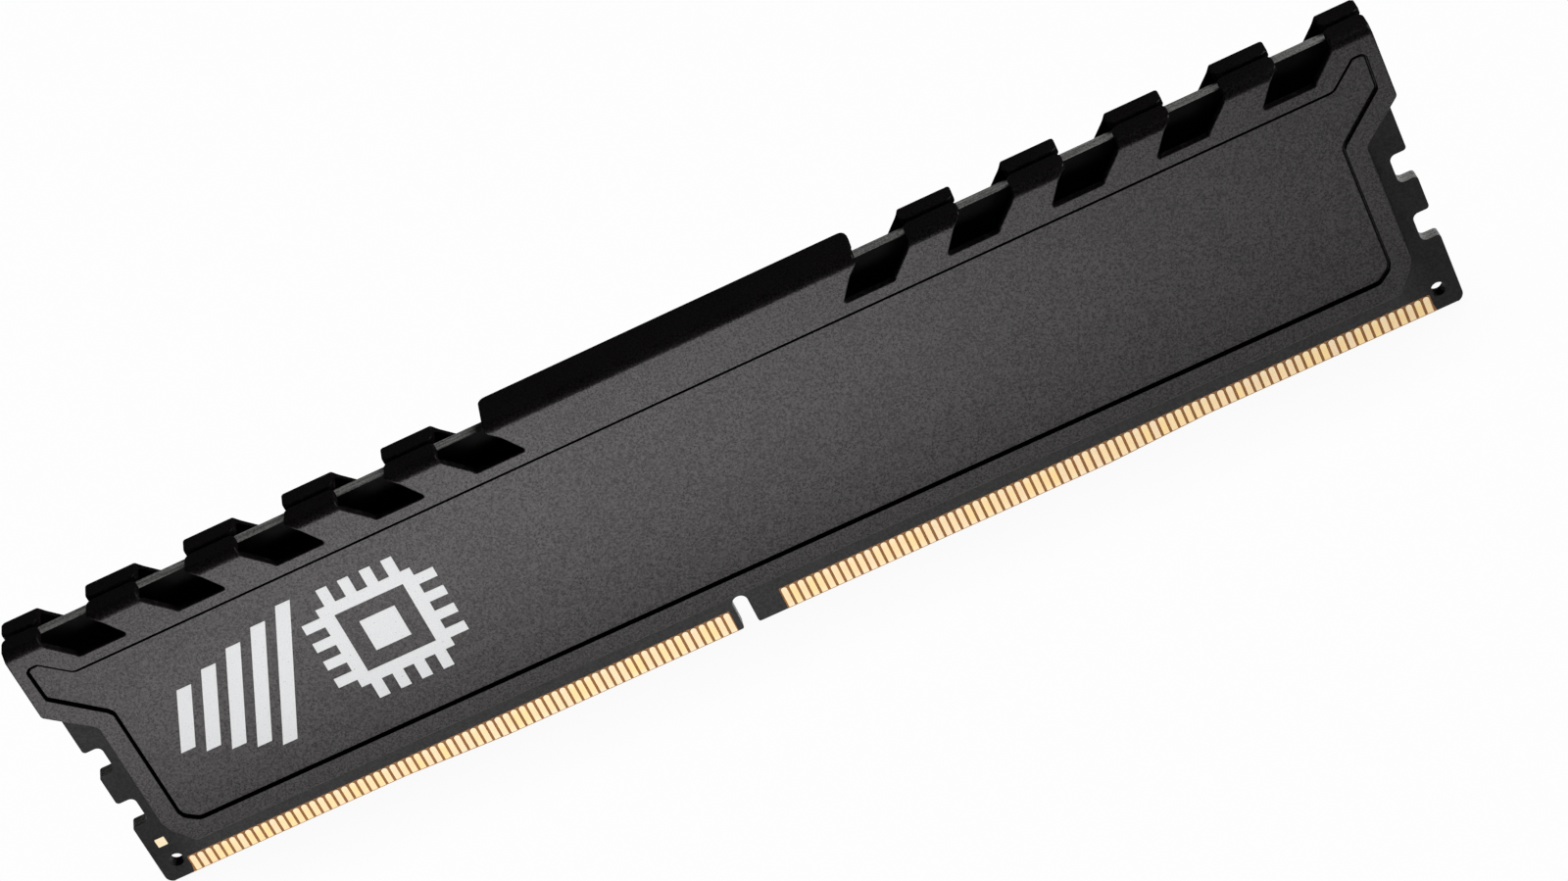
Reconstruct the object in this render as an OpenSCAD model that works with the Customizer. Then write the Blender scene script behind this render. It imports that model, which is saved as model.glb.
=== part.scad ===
// Desktop memory module: a 288-contact circuit board between two stamped
// aluminium heat-spreader shells. X runs along the card edge, Z stands up from
// it, and Y = 0 is the middle of the board's thickness. The side with the
// printed mark faces -Y. Units are millimetres.

/* [Board] */
// Length of the board
board_l = 133.35; // [132:0.05:134]
// Height of the board above the middle of its card edge
board_h = 31.25; // [30.5:0.05:32]
// Thickness of the board
board_t = 1.4; // [1.2:0.05:1.5]
// Height of the card edge's raised ends above its middle
edge_step = 0.5; // [0.2:0.1:0.6]
// Diameter of the hole in each lower corner
hole_d = 1.4; // [1:0.1:1.6]
// Depth of the latch notches
notch_depth = 1.75; // [1.2:0.05:2]

/* [Contacts] */
// Width of a contact
contact_w = 0.6; // [0.5:0.01:0.66]
// Height of the contacts' upper ends
contact_top = 2.45; // [2.2:0.05:2.8]

/* [Shells] */
// Thickness over both shells
over_shells = 6.4; // [6.2:0.1:7.4]
// Thickness of the shells' sheet
sheet_t = 0.7; // [0.6:0.05:0.75]
// Depth of the pressed panel in each shell
panel_depth = 0.35; // [0.25:0.05:0.4]
// Gap between the board's top edge and the tabs above it
tab_clearance = 0.15; // [0.05:0.05:0.3]
// Gap between the front tabs and the back tabs
tab_gap = 0.5; // [0.2:0.1:1.4]
// Overhang of the shells past each end of the board
shell_overhang = 0.7; // [0.3:0.1:1]
// Distance from one top window to the next
window_pitch = 10.1; // [9.9:0.1:10.2]

/* [Hidden] */
$fn = 48;
eps = 0.01;
// How far a cutter runs past the face that it cuts
past = 1;
half_l = board_l / 2;
board_face = board_t / 2;

// Card edge: flat raised ends, then a slope down to the flat middle
edge_slope_l = 10.2;
slope_end = half_l - 25.5;
slope_start = slope_end - edge_slope_l;
edge_bevel = 0.15;
card_edge = [
    [-half_l, edge_step], [-slope_end, edge_step], [-slope_start, 0],
    [slope_start, 0], [slope_end, edge_step], [half_l, edge_step]
];
board_corner_r = 0.5;
hole_x = half_l - 1.95;
hole_z = 2.65;

// Key notch between the two banks, measured from the left end
key_x = 61.2 - half_l;
key_w = 1.5;
key_top = 3.6;
key_mouth_r = 0.35;

// Latch notches: the lower edges of the two in each end
notch_zs = [8, 14.6];
notch_h = 3;
notch_inner_r = 0.6;
notch_outer_r = 0.35;

// Contact banks, first contact measured from the left end
contact_pitch = 0.85;
contact_t = 0.04;
contact_corner = 0.14;
short_bank_x = 3.35 - half_l;
short_bank_n = 67;
long_bank_x = 65.4 - half_l;
long_bank_n = 77;

// Square register pad near the left hole
register_pad_w = 1;
register_pad_x = 1.6 - half_l;
register_pad_z = 5.2;

// Memory packages: one row of eight a side
dram_w = 7.5;
dram_h = 11;
dram_z = 17.4;
dram_first_x = 11.6;
dram_pitch = 13.4;
dram_xs = [for (side = [-1, 1], i = [0:3]) side * (dram_first_x + i * dram_pitch)];
ball_d = 0.45;
ball_h = 0.3;
ball_pitch = 0.8;
ball_fn = 16;
ball_columns = [-4, -3, -2, 2, 3, 4];
ball_rows = [-6:6];
dram_face = board_face + ball_h;

// Serial-presence sensor in the gap between the middle packages
spd_size = [3, 2, 0.7];
spd_x = -1.5;
spd_z = 14;
spd_terminal_h = 0.1;
spd_terminal = [0.25, 0.4];
spd_terminal_pitch = 0.5;
spd_terminal_n = 4;

// Ceramic capacitors: above, below and between the packages
cap_l = 1;
cap_w = 0.5;
cap_h = 0.5;
cap_end = 0.25;
cap_zs = [10.4, 24.4];
cap_offsets = [-2.4, 0, 2.4];
cap_gap_zs = [14.5, 17.4, 20.3];

// Resistor arrays in a row above the contacts
array_w = 2;
array_h = 0.5;
array_t = 0.45;
array_end = 0.25;
array_z = 7.2;
array_n = 4;
array_pitch = 0.5;
array_end_w = 0.3;
array_offset = 2;
array_xs = [for (x = dram_xs, side = [-1, 1]) x + side * array_offset];

// Heat-spreader shells
shell_face = over_shells / 2;
shell_inner = shell_face - sheet_t;
bend_r = 0.95;
tab_top = board_h + tab_clearance + sheet_t;
lap_top = tab_top + sheet_t;
shell_end = half_l + shell_overhang;
flange_end = tab_gap / 2;
// The middle flange of the front shell laps over the back shell's
lap_end = 2;

// Right half of a shell's outline as [distance in from the board's end, Z]
shell_bottom = 5.25;
shell_outline = [
    [-shell_overhang, lap_top + past], [-shell_overhang, 24.45], [3.3, 21],
    [3.3, 8.6], [3.75, 7.4], [5.4, shell_bottom]
];
// Right half of the pressed panel's outline, in the same way
panel_top = 27.6;
panel_bottom = 7.45;
panel_outline = [
    [4.35, panel_top], [1.8, 29.85], [0.9, 29.85], [0.5, 29.45], [0.6, 26],
    [4.9, 22.1], [5.25, 21.6], [5.25, 9.1], [5.55, 8.4], [6.8, panel_bottom]
];
// One top window, in the same way; the others repeat it at window_pitch
window_n = 5;
window_bottom = 28.87;
window_in = 8;
window_out = 3.1;
window_outline = [
    [5.6, window_bottom], [10.5, window_bottom], [9.05, 31], [window_in, 32],
    [window_in, lap_top + past], [window_out, lap_top + past], [window_out, 31.3], [5.4, 29.2]
];
lap_half = half_l - window_in - window_pitch * (window_n - 1);

// Thermal pads between the packages and the pressed panels
pad_t = 0.35;
package_top = shell_inner - panel_depth - pad_t;
pad_size = [114, 12];

// Printed mark and label
print_t = 0.04;
panel_face = shell_face - panel_depth;
mark_x = 31.4 - half_l;
mark_z = 17.8;
chip_w = 9.6;
chip_line = 1.3;
chip_core = 3.6;
chip_pin_n = 4;
chip_pin = [1.1, 1.9];
chip_pin_pitch = 2.2;
bar_n = 5;
bar_pitch = 2.6;
bar_w = 1.5;
bar_h = 14;
bar_step = 1.9;
bar_slant = 0.45;
bar_x = 21.2 - half_l;
label_size = [44, 13];
label_t = 0.1;
label_x = 20;
label_z = 17.5;

board_black = "#16181a";
gold = "#e8c27a";
resin_black = "#242424";
solder = "#b9bcc0";

// Raises a 2D outline drawn in X and Z into a slab between y0 and y1
module slab(y0, y1) {
    translate([0, y1, 0])
        rotate([90, 0, 0])
            linear_extrude(y1 - y0)
                children();
}

// Turns a front part round to the same place on the back
module on_back() {
    rotate([0, 0, 180])
        children();
}

// Mirrors a front part through the board, keeping its X positions
module behind() {
    mirror([0, 1, 0])
        children();
}

// A full outline from its right half, given as [distance in from the end, Z]
function both_halves(half) = concat(
    [for (p = half) [half_l - p[0], p[1]]],
    [for (i = [len(half) - 1:-1:0]) [half[i][0] - half_l, half[i][1]]]
);

// Height of the card edge at x
function edge_z(x) =
    edge_step * max(0, min(1, (abs(x) - slope_start) / edge_slope_l));

// What is cut away to round an outer corner that points along [sx, sz]
module corner_cut(x, z, r, sx, sz) {
    translate([x - sx * r, z - sz * r])
        difference() {
            translate([sx > 0 ? 0 : -r - past, sz > 0 ? 0 : -r - past])
                square(r + past);
            circle(r);
        }
}

// Fills an inner corner that points along [sx, sz] with a fillet
module corner_fill(x, z, r, sx, sz) {
    translate([x - sx * r, z - sz * r])
        difference() {
            translate([sx > 0 ? 0 : -r, sz > 0 ? 0 : -r])
                square(r);
            circle(r);
        }
}

module latch_notch(z) {
    inner_x = half_l - notch_depth;
    difference() {
        translate([inner_x, z])
            square([notch_depth + past, notch_h]);
        corner_fill(inner_x, z, notch_inner_r, -1, -1);
        corner_fill(inner_x, z + notch_h, notch_inner_r, -1, 1);
    }
    corner_cut(half_l, z, notch_outer_r, 1, 1);
    corner_cut(half_l, z + notch_h, notch_outer_r, 1, -1);
}

module key_notch() {
    r = key_w / 2;
    translate([key_x - r, -past])
        square([key_w, key_top - r + past]);
    translate([key_x, key_top - r])
        circle(r);
    corner_cut(key_x - r, 0, key_mouth_r, 1, -1);
    corner_cut(key_x + r, 0, key_mouth_r, -1, -1);
}

module board_outline() {
    difference() {
        polygon(concat(card_edge, [[half_l, board_h], [-half_l, board_h]]));
        for (side = [0, 1])
            mirror([side, 0]) {
                for (z = notch_zs)
                    latch_notch(z);
                corner_cut(half_l, edge_step, board_corner_r, 1, -1);
                corner_cut(half_l, board_h, board_corner_r, 1, 1);
            }
        key_notch();
    }
}

// The bevels along the card edge, front side
module edge_bevels() {
    for (i = [0:len(card_edge) - 2]) {
        from = card_edge[i];
        run = card_edge[i + 1] - from;
        translate([from[0], -board_face, from[1]])
            rotate([0, -atan2(run[1], run[0]), 0])
                rotate([90, 0, 90])
                    linear_extrude(norm(run))
                        polygon([[-eps, -eps], [edge_bevel, -eps], [-eps, edge_bevel]]);
    }
}

module circuit_board() {
    color(board_black)
        difference() {
            slab(-board_face, board_face)
                board_outline();
            edge_bevels();
            behind()
                edge_bevels();
            for (side = [-1, 1])
                translate([side * hole_x, 0, hole_z])
                    rotate([90, 0, 0])
                        cylinder(d = hole_d, h = board_t + 2 * past, center = true);
        }
}

// One bank of contacts on the front face
module contact_bank(first_x, count) {
    half_w = contact_w / 2;
    shoulder = contact_top - contact_corner;
    color(gold)
        slab(-board_face - contact_t, -board_face)
            for (i = [0:count - 1]) {
                x = first_x + i * contact_pitch;
                foot = max(edge_z(x - half_w), edge_z(x + half_w)) + edge_bevel;
                polygon([
                    [x - half_w, foot], [x + half_w, foot],
                    [x + half_w, shoulder], [x + half_w - contact_corner, contact_top],
                    [x - half_w + contact_corner, contact_top], [x - half_w, shoulder]
                ]);
            }
}

module register_pad() {
    color(gold)
        slab(-board_face - contact_t, -board_face)
            translate([register_pad_x, register_pad_z])
                square(register_pad_w, center = true);
}

module dram_packages() {
    color(resin_black)
        for (x = dram_xs)
            translate([x, 0, dram_z])
                slab(-package_top, -dram_face)
                    square([dram_w, dram_h], center = true);
}

module dram_solder_balls() {
    color(solder)
        slab(-dram_face, -board_face)
            for (x = dram_xs, column = ball_columns, row = ball_rows)
                translate([x + column * ball_pitch, dram_z + row * ball_pitch])
                    circle(d = ball_d, $fn = ball_fn);
}

module spd_sensor() {
    color(resin_black)
        slab(-board_face - spd_terminal_h - spd_size[2], -board_face - spd_terminal_h)
            translate([spd_x, spd_z])
                square([spd_size[0], spd_size[1]], center = true);
}

module spd_sensor_terminals() {
    color(solder)
        slab(-board_face - spd_terminal_h, -board_face)
            for (i = [0:spd_terminal_n - 1], side = [-1, 1])
                translate([
                    spd_x + (i - (spd_terminal_n - 1) / 2) * spd_terminal_pitch,
                    spd_z + side * (spd_size[1] - spd_terminal[1]) / 2
                ])
                    square(spd_terminal, center = true);
}

// Places a capacitor at each position, long side along X
module at_capacitors() {
    for (x = dram_xs, offset = cap_offsets, z = cap_zs)
        translate([x + offset, z])
            children();
    for (x = dram_xs, z = cap_gap_zs)
        translate([x + sign(x) * dram_pitch / 2, z])
            children();
}

module capacitor_bodies() {
    color("#b79f7d")
        slab(-board_face - cap_h, -board_face)
            at_capacitors()
                square([cap_l - 2 * cap_end, cap_w], center = true);
}

module capacitor_terminals() {
    color(solder)
        slab(-board_face - cap_h, -board_face)
            at_capacitors()
                for (side = [-1, 1])
                    translate([side * (cap_l - cap_end) / 2, 0])
                        square([cap_end, cap_w], center = true);
}

module resistor_array_bodies() {
    color(resin_black)
        slab(-board_face - array_t, -board_face)
            for (x = array_xs)
                translate([x, array_z])
                    square([array_w, array_h], center = true);
}

module resistor_array_terminals() {
    color(solder)
        slab(-board_face - array_t, -board_face)
            for (x = array_xs, i = [0:array_n - 1], side = [-1, 1])
                translate([
                    x + (i - (array_n - 1) / 2) * array_pitch,
                    array_z + side * (array_h + array_end) / 2
                ])
                    square([array_end_w, array_end], center = true);
}

module thermal_pad() {
    color("#8f949b")
        slab(-package_top - pad_t, -package_top)
            translate([0, dram_z])
                square(pad_size, center = true);
}

// Section of the sheet across the module: face, bend and top flange
module bent_section(top, flange_y) {
    inner_r = bend_r - sheet_t;
    translate([-shell_face, 0])
        square([sheet_t, top - bend_r]);
    translate([bend_r - shell_face, top - sheet_t])
        square([flange_y + shell_face - bend_r, sheet_t]);
    translate([bend_r - shell_face, top - bend_r])
        intersection() {
            difference() {
                circle(bend_r);
                circle(inner_r);
            }
            translate([-bend_r, 0])
                square(bend_r);
        }
}

// The bent sheet from x0 to x1
module bent_sheet(x0, x1, top, flange_y) {
    translate([x0, 0, 0])
        rotate([90, 0, 90])
            linear_extrude(x1 - x0)
                bent_section(top, flange_y);
}

module windows() {
    slab(-shell_face - past, flange_end)
        for (side = [0, 1], i = [0:window_n - 1])
            mirror([side, 0])
                translate([-i * window_pitch, 0])
                    polygon([for (p = window_outline) [half_l - p[0], p[1]]]);
}

// A shell on the front side, whose middle flange is lap_z high and ends at lap_y
module shell(lap_z, lap_y) {
    panel = both_halves(panel_outline);
    difference() {
        union() {
            difference() {
                intersection() {
                    union() {
                        for (side = [0, 1])
                            mirror([side, 0, 0])
                                bent_sheet(lap_half, shell_end, tab_top, -flange_end);
                        bent_sheet(-lap_half, lap_half, lap_z, lap_y);
                    }
                    slab(-shell_face - past, shell_face)
                        polygon(both_halves(shell_outline));
                }
                windows();
            }
            slab(-shell_inner - eps, panel_depth - shell_inner)
                polygon(panel);
        }
        slab(-shell_face - past, -panel_face)
            polygon(panel);
    }
}

module heat_spreader_front() {
    color("#464446")
        shell(lap_top, lap_end);
}

module heat_spreader_back() {
    color("#464446")
        on_back()
            shell(tab_top, -flange_end);
}

module printed_chip_mark() {
    ring_in = chip_w - 2 * chip_line;
    color("#e6e7e9")
        slab(-panel_face - print_t, -panel_face)
            translate([mark_x, mark_z]) {
                difference() {
                    square(chip_w, center = true);
                    square(ring_in, center = true);
                }
                square(chip_core, center = true);
                for (turn = [0:3], i = [0:chip_pin_n - 1])
                    rotate(turn * 90)
                        translate([
                            (i - (chip_pin_n - 1) / 2) * chip_pin_pitch,
                            (chip_w + chip_pin[1]) / 2
                        ])
                            square(chip_pin, center = true);
            }
}

module printed_bars() {
    color("#e6e7e9")
        slab(-panel_face - print_t, -panel_face)
            for (i = [0:bar_n - 1]) {
                h = bar_h - i * bar_step;
                x = bar_x - i * bar_pitch;
                lean = bar_slant * h / 2;
                polygon([
                    [x - lean - bar_w / 2, mark_z - h / 2],
                    [x - lean + bar_w / 2, mark_z - h / 2],
                    [x + lean + bar_w / 2, mark_z + h / 2],
                    [x + lean - bar_w / 2, mark_z + h / 2]
                ]);
            }
}

module rating_label() {
    color("#d9d9d6")
        on_back()
            slab(-panel_face - label_t, -panel_face)
                translate([label_x, label_z])
                    square(label_size, center = true);
}

circuit_board();
contact_bank(short_bank_x, short_bank_n);  // contacts_front_short_bank
contact_bank(long_bank_x, long_bank_n);  // contacts_front_long_bank
behind() contact_bank(short_bank_x, short_bank_n);  // contacts_back_short_bank
behind() contact_bank(long_bank_x, long_bank_n);  // contacts_back_long_bank
register_pad();
dram_packages();  // dram_packages_front
behind() dram_packages();  // dram_packages_back
dram_solder_balls();  // dram_solder_balls_front
behind() dram_solder_balls();  // dram_solder_balls_back
spd_sensor();
spd_sensor_terminals();
capacitor_bodies();  // capacitor_bodies_front
capacitor_terminals();  // capacitor_terminals_front
behind() capacitor_bodies();  // capacitor_bodies_back
behind() capacitor_terminals();  // capacitor_terminals_back
resistor_array_bodies();  // resistor_array_bodies_front
resistor_array_terminals();  // resistor_array_terminals_front
behind() resistor_array_bodies();  // resistor_array_bodies_back
behind() resistor_array_terminals();  // resistor_array_terminals_back
thermal_pad();  // thermal_pad_front
behind() thermal_pad();  // thermal_pad_back
heat_spreader_front();
heat_spreader_back();
printed_chip_mark();
printed_bars();
rating_label();
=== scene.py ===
"""Looks of a desktop memory module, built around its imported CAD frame.

Outlines are drawn in millimetres on the module's own axes: x runs along the card edge from the middle of
the board, z stands up from the middle of that edge, and y goes through the board, with the front at -y.
A place function turns a point of an outline, and a depth below the surface, into metres in the frame.
"""

import math
import random

import bpy
import numpy as np
from mathutils import Matrix, Vector
from mathutils.geometry import delaunay_2d_cdt


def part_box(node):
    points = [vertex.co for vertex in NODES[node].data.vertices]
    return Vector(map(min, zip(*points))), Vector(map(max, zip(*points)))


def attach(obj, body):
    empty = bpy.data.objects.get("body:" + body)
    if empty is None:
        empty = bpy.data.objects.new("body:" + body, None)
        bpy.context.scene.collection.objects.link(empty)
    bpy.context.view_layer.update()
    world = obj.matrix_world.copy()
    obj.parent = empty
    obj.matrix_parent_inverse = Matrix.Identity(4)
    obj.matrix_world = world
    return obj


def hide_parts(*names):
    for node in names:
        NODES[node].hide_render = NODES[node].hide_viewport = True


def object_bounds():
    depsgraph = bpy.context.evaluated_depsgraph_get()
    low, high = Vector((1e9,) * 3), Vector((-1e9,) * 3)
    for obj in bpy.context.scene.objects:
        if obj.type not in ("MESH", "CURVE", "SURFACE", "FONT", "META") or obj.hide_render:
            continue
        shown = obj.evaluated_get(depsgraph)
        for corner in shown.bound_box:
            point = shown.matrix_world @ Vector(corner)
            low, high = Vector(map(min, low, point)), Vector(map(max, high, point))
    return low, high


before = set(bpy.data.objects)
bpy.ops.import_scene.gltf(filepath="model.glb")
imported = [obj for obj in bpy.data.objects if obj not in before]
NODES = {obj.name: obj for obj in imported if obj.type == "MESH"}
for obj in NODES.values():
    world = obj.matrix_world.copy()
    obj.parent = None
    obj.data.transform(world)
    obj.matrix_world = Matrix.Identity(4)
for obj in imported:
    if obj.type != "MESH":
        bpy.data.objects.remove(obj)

CAD_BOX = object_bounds()
MM = 0.001


def box_mm(node):
    """The lowest and highest corner of a CAD node, in millimetres."""
    low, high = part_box(node)
    return low / MM, high / MM


# Sizes that come from the frame
BOARD_HIGH = box_mm("circuit_board")[1]
SHELL_LOW, SHELL_HIGH = box_mm("heat_spreader_front")
BACK_LOW, BACK_HIGH = box_mm("heat_spreader_back")
LABEL_LOW, LABEL_HIGH = box_mm("rating_label")
HALF_L = BOARD_HIGH.x
BOARD_TOP = BOARD_HIGH.z
BOARD_FACE = BOARD_HIGH.y
SHELL_FACE = -SHELL_LOW.y
SHELL_END = SHELL_HIGH.x
SHELL_BOTTOM = SHELL_LOW.z
LAP_TOP = SHELL_HIGH.z
TAB_TOP = BACK_HIGH.z
TAB_END = BACK_LOW.y
LAP_END = SHELL_HIGH.y
SHEET = LAP_TOP - TAB_TOP
PANEL_FACE = -box_mm("printed_chip_mark")[1].y
PANEL_DEPTH = SHELL_FACE - PANEL_FACE

# Bent top edges of the shells: tabs, and the front shell's long middle tab, which laps over the back one
BEND_R = 0.95
BEND_STEPS = 10
BEND_ARC = BEND_R * math.pi / 2
COLUMN_W = 0.6
TAB_BEND = TAB_TOP - BEND_R
TAB_REACH = SHELL_FACE - BEND_R - TAB_END
LAP_REACH = SHELL_FACE - BEND_R + LAP_END
TAB_R = 0.75

# Windows between the tabs: the outer and inner side of the first at its top, in from the board's end
WINDOWS = 5
WINDOW_PITCH = 10.1
WINDOW_OUT = 3.1
WINDOW_IN = 8
WINDOW_LOW = 28.87
LAP_HALF = HALF_L - WINDOW_IN - WINDOW_PITCH * (WINDOWS - 1)

# The sheet's cut edges, and how far in from the board's end it stays beside the latch notches
WAIST_IN = 3.3
SHEET_FRONT_R = 0.2
SHEET_BACK_R = 0.05

# The pressed panel's border: a step down, with a groove at its foot that is wider along the top
STEP_WIDTH = 0.12
GROOVE_WIDTH = 0.2
GROOVE_SPREAD = 0.7
GROOVE_DEPTH = 0.14
STEP_RINGS = 11

# Painted shade in the coat: the tone of the border's hollow, painted near black, the tone of the open faces,
# and the share of painted light on the wall that faces +x
PAINTED_HOLLOW_SHADE = 0.0
OPEN = 0.5
PAINTED_WALL_LIGHT = 0.8

# Card edge of the board, which is raised towards its ends
CONTACT_PITCH = 0.85
CONTACT_W = 0.6
CONTACT_TOP = 2.45
EDGE_BEVEL = 0.15
RAISED_END = 25.5
EDGE_SLOPE = 10.2
EDGE_STEP = 0.5

# Longest side of an outline's pieces: on straight runs, and where the sheet bends
LONG_PIECE = 1.5
SHORT_PIECE = 0.2


# ---------------------------------------------------------------- outlines

# Points tested at once, to keep the arrays small
CHUNK = 400


def rounded(corners, step=0.12):
    """The closed outline through corners of (x, z, radius), each one turned into an arc."""
    points = []
    for i, (x, z, radius) in enumerate(corners):
        here = Vector((x, z))
        back = Vector(corners[i - 1][:2]) - here
        ahead = Vector(corners[(i + 1) % len(corners)][:2]) - here
        turn = math.pi - back.angle(ahead)
        if radius == 0 or turn < 0.01:
            points.append(here)
            continue
        reach = radius * math.tan(turn / 2)
        start = here + back.normalized() * reach
        end = here + ahead.normalized() * reach
        middle = here + (back.normalized() + ahead.normalized()).normalized() * radius / math.cos(turn / 2)
        count = max(2, math.ceil(radius * turn / step))
        side = math.copysign(1, back.x * ahead.y - back.y * ahead.x)
        for k in range(count + 1):
            swing = Matrix.Rotation(-side * turn * k / count, 2)
            points.append(middle + swing @ (start - middle) if k < count else end)
    return points


def divided(points, length_at):
    """The outline with each side cut into pieces no longer than length_at of the side's middle."""
    out = []
    for i, here in enumerate(points):
        ahead = points[(i + 1) % len(points)]
        count = max(1, math.ceil((ahead - here).length / length_at((here + ahead) / 2)))
        out += [here.lerp(ahead, k / count) for k in range(count)]
    return out


def outward(points):
    """The outward direction at each point of an anticlockwise outline, longer at sharp corners."""
    out = []
    for i, here in enumerate(points):
        a = (here - points[i - 1]).normalized()
        b = (points[(i + 1) % len(points)] - here).normalized()
        normal = Vector((a.y + b.y, -a.x - b.x)).normalized()
        out.append(normal / max(0.6, normal.dot(Vector((a.y, -a.x)))))
    return out


def both_halves(right):
    """A whole anticlockwise outline from its right half, given as (distance in from the end, z, radius)."""
    half = [(HALF_L - inset, z, r) for inset, z, r in right]
    return half + [(-x, z, r) for x, z, r in reversed(half)]


def is_inside(points, outline, margin):
    """Which of the points lie in the outline, at least margin from it."""
    if len(points) > CHUNK:
        chunks = [points[i:i + CHUNK] for i in range(0, len(points), CHUNK)]
        return np.concatenate([is_inside(chunk, outline, margin) for chunk in chunks])
    p = np.array([tuple(q) for q in points])[:, None]
    a = np.array([tuple(q) for q in outline])[None]
    b = np.roll(a, -1, axis=1)
    along = b - a
    share = np.clip(((p - a) * along).sum(2) / (along ** 2).sum(2), 0, 1)
    gap = np.linalg.norm(p - a - share[..., None] * along, axis=2).min(1)
    crosses = (a[..., 1] > p[..., 1]) != (b[..., 1] > p[..., 1])
    rise = np.where(along[..., 1] == 0, 1, along[..., 1])
    at_x = a[..., 0] + (p[..., 1] - a[..., 1]) * along[..., 0] / rise
    hits = (crosses & (p[..., 0] < at_x)).sum(1)
    return (hits % 2 == 1) & (gap > margin)


# ---------------------------------------------------------------- meshes

class Solid:
    """Gathers the corners, directions and faces of one piece."""

    def __init__(self):
        self.points = []
        self.normals = []
        self.wear = []
        self.tone = []
        self.faces = []

    def add(self, place, flat, depth, turn, out, wear=0.0, tone=0.5):
        """Adds the point that lies depth below flat; turn swings its direction from the face to out."""
        at, face, up = place(flat.x, flat.y, depth)
        sideways = Vector((out.x, 0, 0)) * place.across + up * out.y
        self.points.append(at)
        self.normals.append((face * math.cos(turn) + sideways * math.sin(turn)).normalized())
        self.wear.append(wear)
        self.tone.append(tone)
        return len(self.points) - 1

    def add_face(self, place, *corners):
        """Adds a face, with its corners in reverse where place mirrors the outline."""
        self.faces.append(corners[::-1] if place.flip else corners)

    def finish(self, name, material, slot, replaces=()):
        """Makes the piece, riding on the one body."""
        mesh = bpy.data.meshes.new(name)
        mesh.from_pydata([p * MM for p in self.points], [], self.faces)
        mesh.validate()
        for key in ("wear", "tone"):
            layer = mesh.attributes.new(key, "FLOAT", "POINT")
            layer.data.foreach_set("value", getattr(self, key))
        mesh.polygons.foreach_set("use_smooth", [True] * len(mesh.polygons))
        mesh.normals_split_custom_set_from_vertices(self.normals)
        mesh.materials.append(material)
        piece = bpy.data.objects.new(name, mesh)
        bpy.context.scene.collection.objects.link(piece)
        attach(piece, "root")
        if replaces:
            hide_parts(*replaces)
        return piece


def facing(side, face):
    """A place function for a flat part with its surface at side * face: side -1 is the front, 1 the back."""
    def place(x, z, depth):
        return Vector((x, side * (face - depth), z)), Vector((0, side, 0)), Vector((0, 0, 1))
    place.across = 1
    place.flip = side > 0
    return place


def rim_profile(front_r, back_r, thick, steps=3):
    """A cut edge from front to back, as (inset, depth, turn)."""
    front = [math.pi / 2 * k / steps for k in range(steps + 1)]
    back = [math.pi / 2 * (1 + k / 2) for k in range(3)]
    return (
        [(front_r * (1 - math.sin(a)), front_r * (1 - math.cos(a)), a) for a in front]
        + [(back_r * (1 - math.sin(a)), thick - back_r * (1 + math.cos(a)), a) for a in back]
    )


def closed(first, count):
    """The sides of a closed line of count points, numbered from first."""
    return [(first + i, first + (i + 1) % count) for i in range(count)]


def as_function(value):
    """A function of a point, from a number or from a function."""
    return value if callable(value) else lambda point: value


def rim(solid, loop, place, profiles, tone_at):
    """Adds a cut edge round a loop, from a profile for each of its points, and gives its rows of points."""
    outs = outward(loop)
    rows = []
    for k in range(len(profiles[0])):
        row = []
        for p, out, profile in zip(loop, outs, profiles):
            inset, depth, turn = profile[k]
            row.append(solid.add(place, p - out * inset, depth, turn, out, math.sin(turn), tone_at(p)))
        rows.append(row)
    for above, below in zip(rows, rows[1:]):
        for i, j in closed(0, len(loop)):
            solid.add_face(place, above[i], below[i], below[j], above[j])
    return rows


def slab(solid, outline, thick, place, front_r, back_r, holes=(), rings=(), extra=(), steps=3, tone=0.5):
    """Adds a sheet with rounded edges.

    front_r, back_r and tone are numbers, or functions of a point of the outline. A ring is a closed line
    in the face, as a list of (point, depth, turn, out, tone), and extra are single points in the face.
    """
    front_at, back_at, tone_at = as_function(front_r), as_function(back_r), as_function(tone)
    flat = []
    fronts = []
    backs = []
    edges = []
    brims = []
    for loop in (outline, *holes):
        profiles = [rim_profile(front_at(p), back_at(p), thick, steps) for p in loop]
        rows = rim(solid, loop, place, profiles, tone_at)
        brim = [p - out * front_at(p) for p, out in zip(loop, outward(loop))]
        edges += closed(len(flat), len(brim))
        flat += brim
        fronts += rows[0]
        backs += rows[-1]
        brims.append(brim)
    for ring in rings:
        edges += closed(len(flat), len(ring))
        for p, depth, turn, out, ring_tone in ring:
            flat.append(p)
            fronts.append(solid.add(place, p, depth, turn, out, 0.0, ring_tone))
            backs.append(solid.add(place, p, depth + thick, math.pi + turn, out))
    for p in extra:
        flat.append(p)
        fronts.append(solid.add(place, p, 0, 0, Vector((0, 0))))
        backs.append(solid.add(place, p, thick, math.pi, Vector((0, 0))))
    spots, _, triangles, origins, _, _ = delaunay_2d_cdt(flat, edges, [], 1, 1e-6)
    for triangle in triangles:
        middle = sum((spots[i] for i in triangle), Vector((0, 0))) / 3
        if any(in_box_of(brim, middle) and is_inside([middle], brim, 0)[0] for brim in brims[1:]):
            continue
        a, b, c = (origins[i][0] for i in triangle)
        solid.add_face(place, fronts[a], fronts[b], fronts[c])
        solid.add_face(place, backs[a], backs[c], backs[b])


def in_box_of(loop, point):
    """True if the point is in the box round the loop."""
    xs = [p.x for p in loop]
    zs = [p.y for p in loop]
    return min(xs) <= point.x <= max(xs) and min(zs) <= point.y <= max(zs)


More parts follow.
